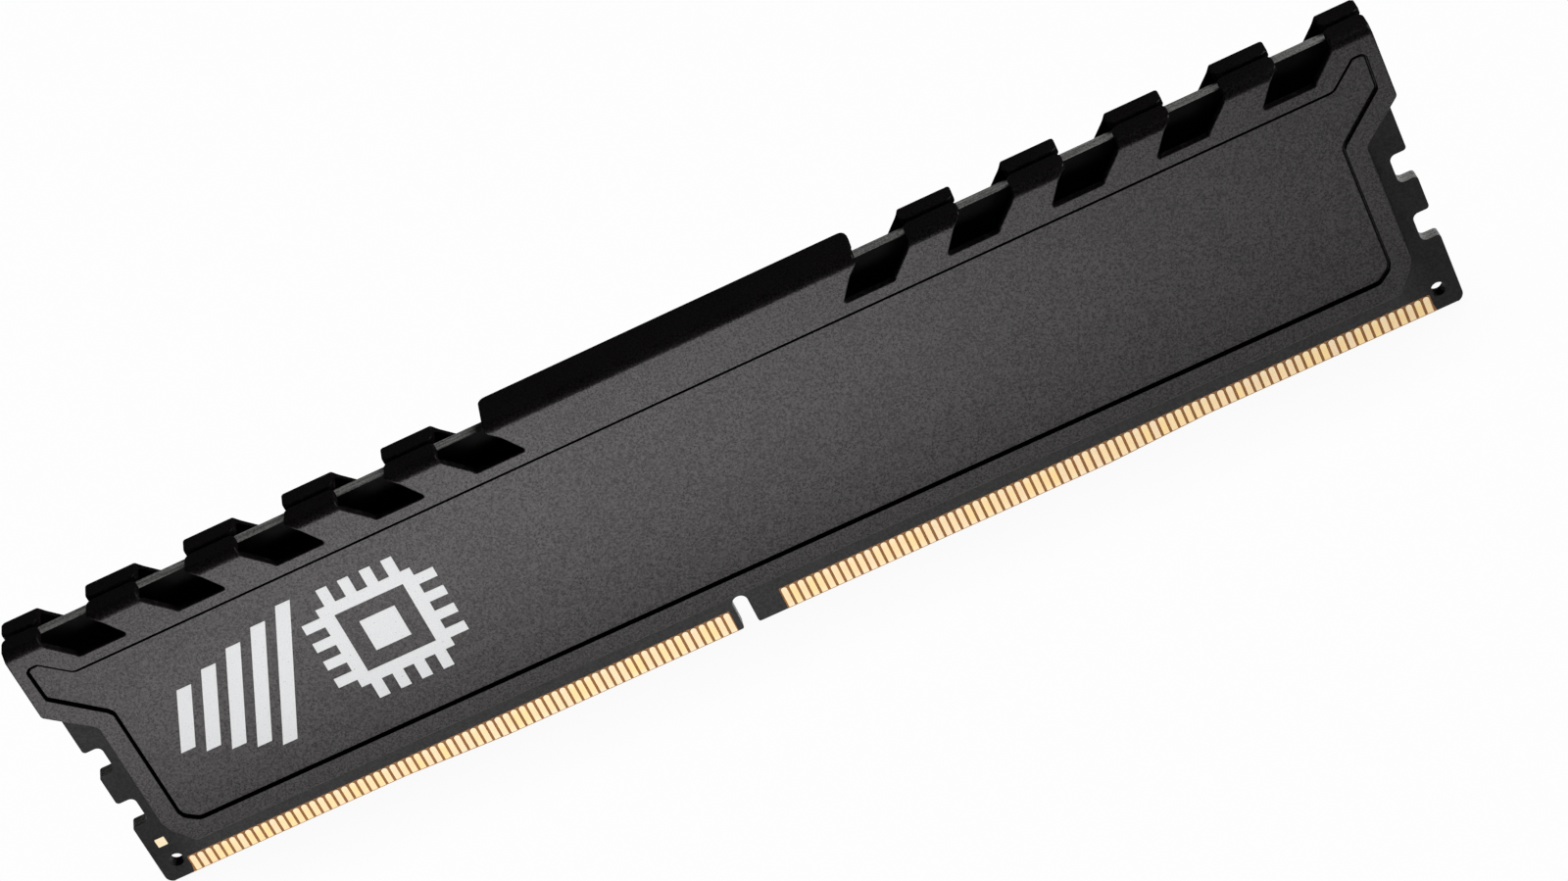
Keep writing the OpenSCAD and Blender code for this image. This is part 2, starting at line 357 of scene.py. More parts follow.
def circle(x, z, radius, count=24):
    """An anticlockwise circle of count points."""
    turns = [2 * math.pi * k / count for k in range(count)]
    return [Vector((x + radius * math.cos(a), z + radius * math.sin(a))) for a in turns]


def rectangle(x, z, w, h, radius, step=0.1):
    """A rectangle about (x, z), with rounded corners."""
    corners = [(-1, -1), (1, -1), (1, 1), (-1, 1)]
    return rounded([(x + i * w / 2, z + k * h / 2, radius) for i, k in corners], step)


# ---------------------------------------------------------------- heat-spreader shells

def along_bend(z, start):
    """Distance along the sheet to the height z, for a bend that begins at the height start."""
    if z <= start:
        return z
    return start + BEND_R * math.asin(min(1, (z - start) / BEND_R))


def shell_outline(lap_top, lap_reach):
    """The outline of a shell's sheet, rolled out flat."""
    def piece_length(p):
        return SHORT_PIECE if p.y > TAB_BEND - 0.3 else LONG_PIECE

    tab_end = TAB_BEND + BEND_ARC + TAB_REACH
    lap_bend = lap_top - BEND_R
    overhang = SHELL_END - HALF_L
    half = [
        (5.4, SHELL_BOTTOM, 0.4), (3.75, 7.4, 0.9), (WAIST_IN, 8.6, 0.9), (WAIST_IN, 21, 0.8),
        (-overhang, 24.45, 0.5), (-overhang, tab_end, TAB_R),
    ]
    for i in range(WINDOWS):
        inset = i * WINDOW_PITCH
        last = i == WINDOWS - 1
        bend = lap_bend if last else TAB_BEND
        end = lap_bend + BEND_ARC + lap_reach if last else tab_end
        half += [
            (inset + WINDOW_OUT, tab_end, TAB_R), (inset + WINDOW_OUT, along_bend(31.5, TAB_BEND), 1.6),
            (inset + 5.4, 29.2, 0.35), (inset + 5.6, WINDOW_LOW, 0.3), (inset + 10.5, WINDOW_LOW, 0.14),
            (inset + 9.05, 31, 1.6), (inset + WINDOW_IN, along_bend(32, bend), 0.8),
            (inset + WINDOW_IN, end, TAB_R),
        ]
    return divided(rounded(both_halves(half)), piece_length)


def panel_outline():
    """The outline of the pressed panel."""
    side_in = 5.25
    ear_top = 29.85
    half = [
        (6.8, 7.25, 1.2), (5.55, 8.2, 1.2), (side_in, 8.9, 0.8), (side_in, 21.6, 0.6), (4.9, 22.1, 0.6),
        (0.6, 26, 0.6), (0.5, 29.45, 0.4), (0.9, ear_top, 0.4), (1.8, ear_top, 0.5), (4.35, 27.6, 0.9),
    ]
    return divided(rounded(both_halves(half)), lambda p: LONG_PIECE)


def eased(share):
    """A smooth rise from 0 to 1 as share goes from 0 to 1."""
    return share ** 2 * (3 - 2 * share)


def step_depth(inset, groove_width):
    """Depth of the panel's border: a step down to the panel, with a groove along its foot."""
    reach = groove_width if inset > STEP_WIDTH else STEP_WIDTH
    step = min(1, max(0, inset / STEP_WIDTH))
    groove = max(0, 1 - abs(inset - STEP_WIDTH) / reach)
    return PANEL_DEPTH * eased(step) + GROOVE_DEPTH * eased(groove)


def border_rings():
    """Lines round the panel's border, from the frame down to the panel, for slab."""
    panel = panel_outline()
    outs = outward(panel)
    rings = []
    for k in range(STEP_RINGS):
        ring = []
        for p, out in zip(panel, outs):
            groove_width = GROOVE_WIDTH * (1 + GROOVE_SPREAD * max(0, out.y))
            gap = (STEP_WIDTH + groove_width) / (STEP_RINGS - 1)
            inset = gap * k
            spot = p - out * (inset - STEP_WIDTH / 2)
            depth = step_depth(inset, groove_width)
            if k in (0, STEP_RINGS - 1):
                ring.append((spot, depth, 0.0, out, OPEN))
            else:
                rise = step_depth(inset + gap / 2, groove_width) - step_depth(inset - gap / 2, groove_width)
                # Painted shade on the step and its groove, lifted by painted light on the wall that faces +x
                tone = PAINTED_HOLLOW_SHADE + (OPEN - PAINTED_HOLLOW_SHADE) * PAINTED_WALL_LIGHT * max(0, out.x)
                ring.append((spot, depth, -math.atan(rise / gap), out, tone))
        rings.append(ring)
    return rings


def sheet_place(side, lap_top):
    """A place function that rolls a flat outline up into a shell: side -1 is the front and 1 the back."""
    def place(x, s, depth):
        start = (lap_top if abs(x) <= LAP_HALF + 0.01 else TAB_TOP) - BEND_R
        turn = min(max((s - start) / BEND_R, 0), math.pi / 2)
        rise = min(s, start)
        reach = max(s - start - BEND_ARC, 0)
        radius = BEND_R - depth
        y = SHELL_FACE - BEND_R + radius * math.cos(turn) - reach
        at = Vector((-side * x, side * y, rise + radius * math.sin(turn)))
        face = Vector((0, side * math.cos(turn), math.sin(turn)))
        up = Vector((0, -side * math.sin(turn), math.cos(turn)))
        return at, face, up
    place.across = -side
    place.flip = False
    return place


def bend_grid(lap_top, outline):
    """Points in the sheet along its bends, so that they come out round."""
    rows = [TAB_BEND + BEND_ARC * k / BEND_STEPS for k in range(-1, BEND_STEPS + 6)]
    if lap_top > TAB_TOP:
        rows = sorted(rows + [lap_top - BEND_R + BEND_ARC * k / BEND_STEPS for k in range(BEND_STEPS + 1)])
    columns = int(2 * SHELL_END / COLUMN_W)
    across = [-SHELL_END + 2 * SHELL_END * (i + 0.5) / columns for i in range(columns)]
    grid = [Vector((x, row)) for row in rows for x in across]
    return [p for p, inside in zip(grid, is_inside(grid, outline, SHEET_FRONT_R + 0.1)) if inside]


def shell(side, lap_top, lap_reach):
    """One shell: a bent sheet with windows in its top edge and a pressed panel in its face."""
    solid = Solid()
    outline = shell_outline(lap_top, lap_reach)
    place = sheet_place(side, lap_top)
    extra = bend_grid(lap_top, outline)
    slab(solid, outline, SHEET, place, SHEET_FRONT_R, SHEET_BACK_R, rings=border_rings(), extra=extra)
    return solid


# ---------------------------------------------------------------- board and contacts

# Holes, key notch and latch notches
HOLE_INSET = 1.95
HOLE_Z = 2.65
HOLE_R = 0.7
KEY_X = 61.2 - HALF_L
KEY_W = 1.5
KEY_TOP = 3.6
NOTCHES = ((8, 11), (14.6, 17.6))
NOTCH_DEPTH = 1.75
NOTCH_R = 0.6
RIM_R = 0.35
LOW_CORNER_R = 0.9
TOP_CORNER_R = 0.5

# Layers on the board: the solder mask, and the contacts, with each bank as (first one's x, count)
MASK_T = 0.02
MASK_GAP = 0.02
CONTACT_T = 0.04
BANKS = {"short": (3.35 - HALF_L, 67), "long": (65.4 - HALF_L, 77)}

# Copper under the mask: tracks, and the vias that some of them end in
TRACK_T = 0.012
TRACK_WIDTHS = (0.12, 0.12, 0.2, 0.3)
VIA_SHARE = 0.45
VIA_TRACK_TOPS = (3.1, 4.4)
VIA_R = 0.24
DRILL_R = 0.1

# Where bare laminate shows between contacts: from this far in, but not in the gap between the banks
BANK_MARGIN = 2.7
GAP_X = 62.4 - HALF_L
GAP_W = 5.1


def edge_z(x):
    """Height of the card edge at x."""
    return EDGE_STEP * min(1, max(0, (abs(x) - HALF_L + RAISED_END + EDGE_SLOPE) / EDGE_SLOPE))


def bank_window(first_x, count):
    """The opening in the solder mask round a bank of contacts."""
    left = first_x - CONTACT_PITCH / 2
    right = left + count * CONTACT_PITCH
    top = CONTACT_TOP + 0.04
    return [(left, edge_z(left), 0), (left, top, 0.15), (right, top, 0.15), (right, edge_z(right), 0)]


def board_outline(windows):
    """The board's outline. With windows, the solder mask's openings are cut from the card edge."""
    slope_end = HALF_L - RAISED_END
    left_key, right_key = KEY_X - KEY_W / 2, KEY_X + KEY_W / 2
    key_r = KEY_W / 2 - 0.01
    key = [
        (left_key, 0, RIM_R), (left_key, KEY_TOP, key_r), (right_key, KEY_TOP, key_r), (right_key, 0, RIM_R),
    ]
    slope = [(slope_end - EDGE_SLOPE, 0, 0), (slope_end, EDGE_STEP, 0)]
    end = [(HALF_L, EDGE_STEP, LOW_CORNER_R)]
    for low, high in NOTCHES:
        inner = HALF_L - NOTCH_DEPTH
        end += [(HALF_L, low, RIM_R), (inner, low, NOTCH_R), (inner, high, NOTCH_R), (HALF_L, high, RIM_R)]
    end += [(HALF_L, BOARD_TOP, TOP_CORNER_R)]
    mirrored = [(-x, z, r) for x, z, r in reversed(slope + end)]
    if windows:
        short, long = (bank_window(*BANKS[bank]) for bank in ("short", "long"))
        corners = mirrored[:-2] + short + key + long + end
    else:
        corners = mirrored + key + slope + end
    return divided(rounded(corners), lambda p: LONG_PIECE)


def hole_middles():
    """The middles of the two holes in the board's lower corners."""
    return [Vector((side * (HALF_L - HOLE_INSET), HOLE_Z)) for side in (-1, 1)]


def board_holes(radius):
    """The two holes as clockwise outlines."""
    return [circle(*middle, radius)[::-1] for middle in hole_middles()]


def on_card_edge(p):
    """True if the point is on the card edge."""
    return p.y < edge_z(p.x) + 0.02


def board():
    """The bare laminate, with bevels along its card edge and lined holes."""
    def bevel(p):
        return EDGE_BEVEL if on_card_edge(p) else 0.03

    def bare(p):
        lined = any((p - hole).length < HOLE_R + 0.1 for hole in hole_middles())
        return 0.0 if lined else 1.0

    solid = Solid()
    place = facing(-1, BOARD_FACE)
    holes = board_holes(HOLE_R)
    slab(solid, board_outline(False), 2 * BOARD_FACE, place, bevel, bevel, holes=holes, tone=bare)
    return solid


def solder_mask(side):
    """The lacquer over one face, open round the contacts and the holes."""
    outline = board_outline(True)
    gaps = [EDGE_BEVEL + MASK_GAP if on_card_edge(p) else MASK_GAP for p in outline]
    inset = [p - o * gap for p, o, gap in zip(outline, outward(outline), gaps)]
    holes = board_holes(HOLE_R + MASK_GAP)
    place = facing(side, BOARD_FACE + MASK_T)
    solid = Solid()
    slab(solid, inset, MASK_T, place, front_r=0.012, back_r=0.004, holes=holes, steps=2)
    return solid


def contacts(side, bank):
    """One bank of gold contacts, each with its own tone."""
    solid = Solid()
    first_x, count = BANKS[bank]
    place = facing(side, BOARD_FACE + CONTACT_T)
    draw = random.Random(f"{side} {bank}")
    for i in range(count):
        x = first_x + i * CONTACT_PITCH
        foot = max(edge_z(x - CONTACT_W / 2), edge_z(x + CONTACT_W / 2)) + EDGE_BEVEL
        low = [(x + k * CONTACT_W / 2, foot, 0.03) for k in (-1, 1)]
        high = [(x + k * CONTACT_W / 2, CONTACT_TOP, 0.27) for k in (1, -1)]
        outline = rounded(low + high, 0.06)
        slab(solid, outline, CONTACT_T, place, front_r=0.03, back_r=0.005, steps=2, tone=draw.random())
    return solid


def tracks(side):
    """Copper tracks under the solder mask, one up from each contact, and vias at the ends of some."""
    solid = Solid()
    place = facing(side, BOARD_FACE + MASK_T + TRACK_T)
    draw = random.Random(f"tracks {side}")
    for first_x, count in BANKS.values():
        for i in range(count):
            x = first_x + i * CONTACT_PITCH
            has_via = draw.random() < VIA_SHARE
            top = draw.uniform(*VIA_TRACK_TOPS) if has_via else SHELL_BOTTOM + 0.6
            width = draw.choice(TRACK_WIDTHS)
            bottom = CONTACT_TOP + 0.2
            track = rectangle(x, (bottom + top) / 2, width, top - bottom, 0.05)
            slab(solid, track, TRACK_T, place, front_r=0.01, back_r=0.001, steps=2)
            if has_via:
                ring = circle(x, top + 0.2, VIA_R, 16)
                drill = circle(x, top + 0.2, DRILL_R, 12)[::-1]
                slab(solid, ring, TRACK_T, place, front_r=0.01, back_r=0.001, holes=[drill], steps=2)
    return solid


def pad_plate():
    """The square gold pad by the left hole."""
    low, high = box_mm("register_pad")
    middle = (low + high) / 2
    solid = Solid()
    outline = rectangle(middle.x, middle.z, high.x - low.x, high.z - low.z, 0.08, 0.03)
    slab(solid, outline, CONTACT_T, facing(-1, -low.y), front_r=0.02, back_r=0.005, steps=2)
    return solid


def label():
    """The blank label in the back shell's recess."""
    middle = (LABEL_LOW + LABEL_HIGH) / 2
    size = LABEL_HIGH - LABEL_LOW
    solid = Solid()
    outline = rectangle(middle.x, middle.z, size.x, size.z, 1.0)
    slab(solid, outline, size.y, facing(1, LABEL_HIGH.y), front_r=0.04, back_r=0.01)
    return solid


# ---------------------------------------------------------------- materials

class Graph:
    """One material, with its nodes built and linked by short calls."""

    def __init__(self, name):
        self.material = bpy.data.materials.new(name)
        self.material.use_nodes = True
        self.tree = self.material.node_tree
        self.tree.nodes.clear()
        self.coords = self.node("TexCoord").outputs["Object"]

    def node(self, kind, inputs=None, **settings):
        """A new node, with each of its inputs set to a value or linked."""
        made = self.tree.nodes.new("ShaderNode" + kind)
        for key, value in settings.items():
            setattr(made, key, value)
        for key, value in (inputs or {}).items():
            if isinstance(value, bpy.types.NodeSocket):
                self.tree.links.new(value, made.inputs[key])
            else:
                made.inputs[key].default_value = value
        return made

    def noise(self, size, detail=2.0, stretch=(1, 1, 1), rough=0.5):
        """Noise with features of about size millimetres, drawn out along an axis whose stretch is over 1."""
        scale = [1 / (size * MM * k) for k in stretch]
        at = self.node("VectorMath", {0: self.coords, 1: scale}, operation="MULTIPLY").outputs[0]
        made = self.node("TexNoise", {"Vector": at, "Scale": 1.0, "Detail": detail, "Roughness": rough})
        return made.outputs["Fac"]

    def range(self, value, low, high, to_low=0.0, to_high=1.0, smooth=False):
        """value from low..high mapped to to_low..to_high, held at the ends."""
        kind = "SMOOTHSTEP" if smooth else "LINEAR"
        inputs = {0: value, 1: low, 2: high, 3: to_low, 4: to_high}
        made = self.node("MapRange", inputs, clamp=True, interpolation_type=kind)
        return made.outputs[0]

    def math(self, operation, a, b=0.0):
        """The result of a Math node, for two numbers or links."""
        return self.node("Math", {0: a, 1: b}, operation=operation).outputs[0]

    def mix(self, share, a, b):
        """Colour a where share is 0 and b where it is 1."""
        made = self.node("Mix", {0: share}, data_type="RGBA")
        for key, value in ((6, a), (7, b)):
            if isinstance(value, bpy.types.NodeSocket):
                self.tree.links.new(value, made.inputs[key])
            else:
                made.inputs[key].default_value = (*value, 1.0)
        return made.outputs[2]

    def attribute(self, name):
        """A number carried by the mesh's points."""
        return self.node("Attribute", attribute_name=name).outputs["Fac"]

    def bump(self, height, distance, under=None):
        """A bump distance millimetres high where height is 1, over the bump under it."""
        inputs = {"Height": height, "Distance": distance * MM, "Strength": 1.0}
        if under is not None:
            inputs["Normal"] = under
        return self.node("Bump", inputs).outputs["Normal"]

    def finish(self, color, roughness, normal=None, metallic=0.0, **more):
        """Links the surface up and hands over the material."""
        inputs = {"Base Color": color, "Roughness": roughness, "Metallic": metallic}
        if normal is not None:
            inputs["Normal"] = normal
        inputs.update(more)
        shader = self.node("BsdfPrincipled", inputs)
        self.node("OutputMaterial", {"Surface": shader.outputs[0]})
        return self.material


def coating():
    """Matte coat on aluminium: warm charcoal with a sandy grain, dull on cut edges, with painted shade in
    the border's hollows, near black and without gloss.
    """
    g = Graph("spreader_coating")
    grain = g.math("ADD", g.noise(0.11, 2.0), g.noise(0.21, 2.0))
    cloud = g.noise(7, 3.0)
    patch = g.noise(0.5, 3.0)
    tone = g.math("ADD", g.range(grain, 0.8, 1.2, -0.35, 0.35), g.range(cloud, 0.35, 0.65, 0.35, 0.65))
    dark = g.mix(tone, (0.0050, 0.0041, 0.0043), (0.0120, 0.0098, 0.0101))
    worn = g.math("MULTIPLY", g.attribute("wear"), g.range(patch, 0.5, 0.7, 0.0, 0.15))
    roughness = g.math("ADD", g.range(cloud, 0.3, 0.7, 0.30, 0.35), g.range(grain, 0.8, 1.2, -0.05, 0.05))
    # Painted shade: in the border's hollow the coat turns near black and loses its gloss
    unshaded = g.range(g.attribute("tone"), PAINTED_HOLLOW_SHADE, OPEN)
    color = g.mix(unshaded, (0.001, 0.001, 0.001), g.mix(worn, dark, (0.085, 0.081, 0.082)))
    gloss = g.math("MULTIPLY", g.range(g.attribute("wear"), 0.1, 0.8, 1, 0), unshaded)
    shine = {
        "Specular IOR Level": g.math("MULTIPLY", gloss, g.range(grain, 0.8, 1.2, 0.28, 0.76)),
        "Specular Tint": (1.0, 0.955, 0.965, 1.0),
    }
    return g.finish(color, roughness, g.bump(grain, 0.014), **shine)


def lacquer():
    """Black solder mask: satin, with the weave of the glass cloth just showing.

    Its gloss is raised along the card edge, away from the board's ends, as a painted highlight, and lowered
    where the shells cover it, as painted shade.
    """
    g = Graph("black_solder_mask")
    weave = g.math("ADD", g.noise(0.4, 1.0, (6, 1, 1)), g.noise(0.4, 1.0, (1, 1, 6)))
    grain = g.noise(0.2, 2.0)
    color = g.mix(g.range(g.noise(3, 3.0), 0.3, 0.7), (0.007, 0.0065, 0.0065), (0.012, 0.0112, 0.0112))
    roughness = g.range(g.noise(1.2, 3.0), 0.3, 0.7, 0.32, 0.42)
    normal = g.bump(grain, 0.004, under=g.bump(weave, 0.004))
    spot = g.node("SeparateXYZ", {0: g.coords})
    from_end = g.math("SUBTRACT", HALF_L * MM, g.math("ABSOLUTE", spot.outputs["X"]))
    # Painted highlight along the card edge, and painted shade high up where the shells cover the board
    low = g.range(spot.outputs["Z"], 5.0 * MM, 7.5 * MM, 1.0, 0.0)
    painted_edge_sheen = g.math("MULTIPLY", low, g.range(from_end, 2.0 * MM, 6.0 * MM))
    painted_shell_shade = g.range(spot.outputs["Z"], 22 * MM, 26 * MM, 1.0, 0.1)
    shine = g.math("MULTIPLY", painted_shell_shade, g.range(painted_edge_sheen, 0, 1, 0.5, 1.0))
    gloss = g.math("MULTIPLY", shine, g.range(grain, 0.35, 0.65, 0.32, 0.50))
    return g.finish(color, roughness, normal, **{"Specular IOR Level": gloss})


def laminate():
    """Glass-fibre laminate: brown between the contacts, grey along its routed edges, black elsewhere."""
    g = Graph("glass_laminate")
    normal = g.node("SeparateXYZ", {0: g.node("NewGeometry").outputs["Normal"]})
    across = g.math("ABSOLUTE", normal.outputs["Y"])
    spot = g.node("SeparateXYZ", {0: g.coords})
    layers = g.math("ADD", g.noise(0.25, 2.0, (30, 1, 30)), g.math("SUBTRACT", g.noise(0.15, 2.0), 0.5))
    fibres = g.noise(0.15, 3.0)
    black = (0.011, 0.010, 0.010)
    routed = g.mix(g.range(layers, 0.35, 0.65), (0.16, 0.158, 0.155), (0.50, 0.495, 0.485))
    edge = g.mix(g.attribute("tone"), black, routed)
    brown = g.mix(g.range(fibres, 0.3, 0.7), (0.38, 0.15, 0.035), (0.60, 0.26, 0.07))
    low = g.math("LESS_THAN", spot.outputs["Z"], (CONTACT_TOP + 0.3) * MM)
    within = g.math("LESS_THAN", g.math("ABSOLUTE", spot.outputs["X"]), (HALF_L - BANK_MARGIN) * MM)
    from_gap = g.math("ABSOLUTE", g.math("SUBTRACT", spot.outputs["X"], GAP_X * MM))
    in_bank = g.math("MULTIPLY", within, g.math("GREATER_THAN", from_gap, GAP_W / 2 * MM))
    face = g.mix(g.math("MULTIPLY", low, in_bank), black, brown)
    color = g.mix(g.range(across, 0.5, 0.9), edge, face)
    return g.finish(color, g.range(fibres, 0.3, 0.7, 0.55, 0.75), g.bump(fibres, 0.006))


def gold():
    """Hard gold plating: each contact a little different, paler at its ends, with fine wiping marks."""
    g = Graph("contact_gold")
    tone = g.attribute("tone")
    height = g.node("SeparateXYZ", {0: g.coords}).outputs["Z"]
    scratches = g.noise(0.05, 3.0, (1, 1, 18))
    base = g.mix(tone, (0.99, 0.74, 0.36), (0.98, 0.78, 0.52))
    marked = g.mix(g.range(scratches, 0.35, 0.7, 0.0, 0.3), base, (0.90, 0.60, 0.32))
    from_middle = g.math("ABSOLUTE", g.math("SUBTRACT", height, CONTACT_TOP / 2 * MM))
    color = g.mix(g.range(from_middle, 0.5 * MM, 1.2 * MM, 0.0, 0.45), marked, (0.98, 0.89, 0.70))
    roughness = g.math("ADD", g.range(scratches, 0.3, 0.7, 0.26, 0.36), g.range(tone, 0, 1, -0.03, 0.05))
    return g.finish(color, roughness, g.bump(scratches, 0.0015), metallic=1.0)


def resin():
    """Moulded package resin: matte black with a sparkle of filler."""
    g = Graph("package_resin")
    filler = g.noise(0.06, 2.0)
    color = g.mix(g.range(filler, 0.55, 0.75), (0.012, 0.012, 0.013), (0.04, 0.04, 0.042))
    return g.finish(color, g.range(g.noise(1.5), 0.3, 0.7, 0.55, 0.7), g.bump(filler, 0.006))


def tin():
    """Reflowed solder: dull silver with soft ripples."""
    g = Graph("tinned_terminal")
    ripple = g.noise(0.12, 2.0)
    color = g.mix(g.range(ripple, 0.3, 0.7), (0.55, 0.56, 0.58), (0.72, 0.72, 0.73))
    return g.finish(color, g.range(ripple, 0.3, 0.7, 0.28, 0.42), g.bump(ripple, 0.008), metallic=1.0)


def ceramic():
    """Fired capacitor ceramic: tan, slightly speckled."""
    g = Graph("capacitor_ceramic")
    speck = g.noise(0.07, 3.0)
    color = g.mix(g.range(speck, 0.35, 0.7), (0.30, 0.21, 0.13), (0.44, 0.33, 0.21))
    return g.finish(color, g.range(speck, 0.3, 0.7, 0.38, 0.5), g.bump(speck, 0.003))


def glaze():
    """Black glaze over the resistor arrays, with a cloudy tone and gloss."""
    g = Graph("resistor_coating")
    cloud = g.noise(0.3, 3.0)
    color = g.mix(g.range(cloud, 0.3, 0.7), (0.012, 0.012, 0.014), (0.028, 0.028, 0.032))
    return g.finish(color, g.range(cloud, 0.3, 0.7, 0.22, 0.4), g.bump(cloud, 0.005))


def silicone():
    """Soft grey thermal pad, matte, with filler grains and faint pressing marks."""
    g = Graph("thermal_pad_rubber")
    grain = g.noise(0.09, 3.0)
    color = g.mix(g.range(grain, 0.35, 0.65), (0.24, 0.26, 0.28), (0.34, 0.36, 0.38))
    normal = g.bump(grain, 0.01, under=g.bump(g.noise(1.6), 0.03))
    return g.finish(color, g.range(grain, 0.3, 0.7, 0.75, 0.9), normal)


def ink():
    """Silver-white screen print: even, with the coat's grain and a few pinholes showing through."""
    g = Graph("print_ink")
    grain = g.noise(0.1, 2.0)
    pinhole = g.range(g.noise(0.16, 1.0), 0.70, 0.76)
    silver = g.mix(g.range(grain, 0.3, 0.7), (0.74, 0.745, 0.76), (0.88, 0.885, 0.89))
    color = g.mix(pinhole, silver, (0.30, 0.30, 0.31))
    normal = g.bump(g.noise(0.16, 3.0, rough=0.6), 0.006)
    return g.finish(color, g.range(grain, 0.3, 0.7, 0.42, 0.55), normal, metallic=0.15)


def film():
    """Satin white label film with a plain printed border and ruled fields."""
    g = Graph("label_paper")
    middle = (LABEL_LOW + LABEL_HIGH) / 2 * MM
    size = (LABEL_HIGH - LABEL_LOW) * MM
    spot = g.node("SeparateXYZ", {0: g.coords})
    from_x = g.math("ABSOLUTE", g.math("SUBTRACT", spot.outputs["X"], middle.x))
    from_z = g.math("ABSOLUTE", g.math("SUBTRACT", spot.outputs["Z"], middle.z))
    margin = 0.9 * MM
    half_line = 0.09 * MM
    frame_x, frame_z = size.x / 2 - margin, size.z / 2 - margin

    def line(value, at):
        return g.math("LESS_THAN", g.math("ABSOLUTE", g.math("SUBTRACT", value, at)), half_line)

    def in_frame(past):
        in_x = g.math("LESS_THAN", from_x, frame_x + past)
        return g.math("MULTIPLY", in_x, g.math("LESS_THAN", from_z, frame_z + past))

    edges = g.math("MAXIMUM", line(from_x, frame_x), line(from_z, frame_z))
    rulings = g.math("MAXIMUM", line(from_z, size.z / 6), line(from_x, size.x / 5))
    border = g.math("MULTIPLY", edges, in_frame(half_line))
    rules = g.math("MULTIPLY", rulings, in_frame(0))
    marks = g.math("MAXIMUM", border, rules)
    fibre = g.noise(0.2, 3.0)
    paper = g.mix(g.range(fibre, 0.3, 0.7), (0.66, 0.66, 0.645), (0.76, 0.76, 0.745))
    color = g.mix(marks, paper, (0.12, 0.12, 0.13))
    return g.finish(color, g.range(fibre, 0.3, 0.7, 0.35, 0.5), g.bump(fibre, 0.004))


# ---------------------------------------------------------------- the module

def dress(node, material, bevel):
    """Gives a CAD node its material and softens its edges by bevel millimetres."""
    piece = NODES[node]
    piece.data.materials.clear()
    piece.data.materials.append(material)
    if bevel:
        weld = piece.modifiers.new("weld", "WELD")
        weld.merge_threshold = 0.0005 * MM
        soft = piece.modifiers.new("bevel", "BEVEL")
        soft.width = bevel * MM
        soft.segments = 2
        soft.limit_method = "ANGLE"
        soft.harden_normals = True


def build():
    """Every shown piece of the module."""
    coat, mask, mould, solder = coating(), lacquer(), resin(), tin()
    plating, body, arrays, pad, print_ink = gold(), ceramic(), glaze(), silicone(), ink()
    front = shell(-1, LAP_TOP, LAP_REACH)
    front.finish("front_shell", coat, "spreader_coating", ["heat_spreader_front"])
    back = shell(1, TAB_TOP, TAB_REACH)
    back.finish("back_shell", coat, "spreader_coating", ["heat_spreader_back"])
    board().finish("board_laminate", laminate(), "black_solder_mask", ["circuit_board"])
    for side, word in ((-1, "front"), (1, "back")):
        solder_mask(side).finish(f"solder_mask_{word}", mask, "black_solder_mask")
        tracks(side).finish(f"covered_tracks_{word}", mask, "black_solder_mask")
        for bank in BANKS:
            node = f"contacts_{word}_{bank}_bank"
            contacts(side, bank).finish(f"gold_contacts_{word}_{bank}", plating, "contact_gold", [node])
        dress(f"dram_packages_{word}", mould, bevel=0.08)
        dress(f"dram_solder_balls_{word}", solder, bevel=0)
        dress(f"capacitor_bodies_{word}", body, bevel=0.04)
        dress(f"capacitor_terminals_{word}", solder, bevel=0.04)
        dress(f"resistor_array_bodies_{word}", arrays, bevel=0.04)
        dress(f"resistor_array_terminals_{word}", solder, bevel=0.03)
        dress(f"thermal_pad_{word}", pad, bevel=0.08)
    dress("spd_sensor", mould, bevel=0.05)
    dress("spd_sensor_terminals", solder, bevel=0.01)
    dress("printed_chip_mark", print_ink, bevel=0)
    dress("printed_bars", print_ink, bevel=0)
    pad_plate().finish("gold_register_pad", plating, "contact_gold", ["register_pad"])
    label().finish("blank_label", film(), "label_paper", ["rating_label"])


# ---------------------------------------------------------------- floor, light and camera

# Half the floor's width, in metres
FLOOR_HALF = 6.0

# The floor's light at the module's foot, beside it and further out, and the distances where the last
# has its full strength and where it fades away
FILL_FOOT = 1.15
FILL_NEAR = 0.9
FILL_FAR = 3.75
FAR_AT = 60
FAR_FADE = (55, 108)

# Along the module: where that light is brightest, how far it takes to fall off, and its least share
BRIGHT_X = -35
BRIGHT_W = 100
LEAST_SHARE = 0.3

# Brightness of the floor and the room as the camera sees them, and of the room as the module does
SEEN_WHITE = 0.985
SEEN_SHADE = 0.95
ROOM_LIGHT = 0.015
WHITE = (1, 1, 1, 1)

# The camera: degrees from the front, up and of roll, metres from its target, and the target in millimetres
CAMERA_AZIMUTH = 8.68
CAMERA_ELEVATION = 32.0
CAMERA_ROLL = -29.06
CAMERA_DISTANCE = 0.3888
CAMERA_TARGET = (-14.24, -PANEL_FACE, 9.92)
LENS = 96.7
LENS_SHIFT = 0.1


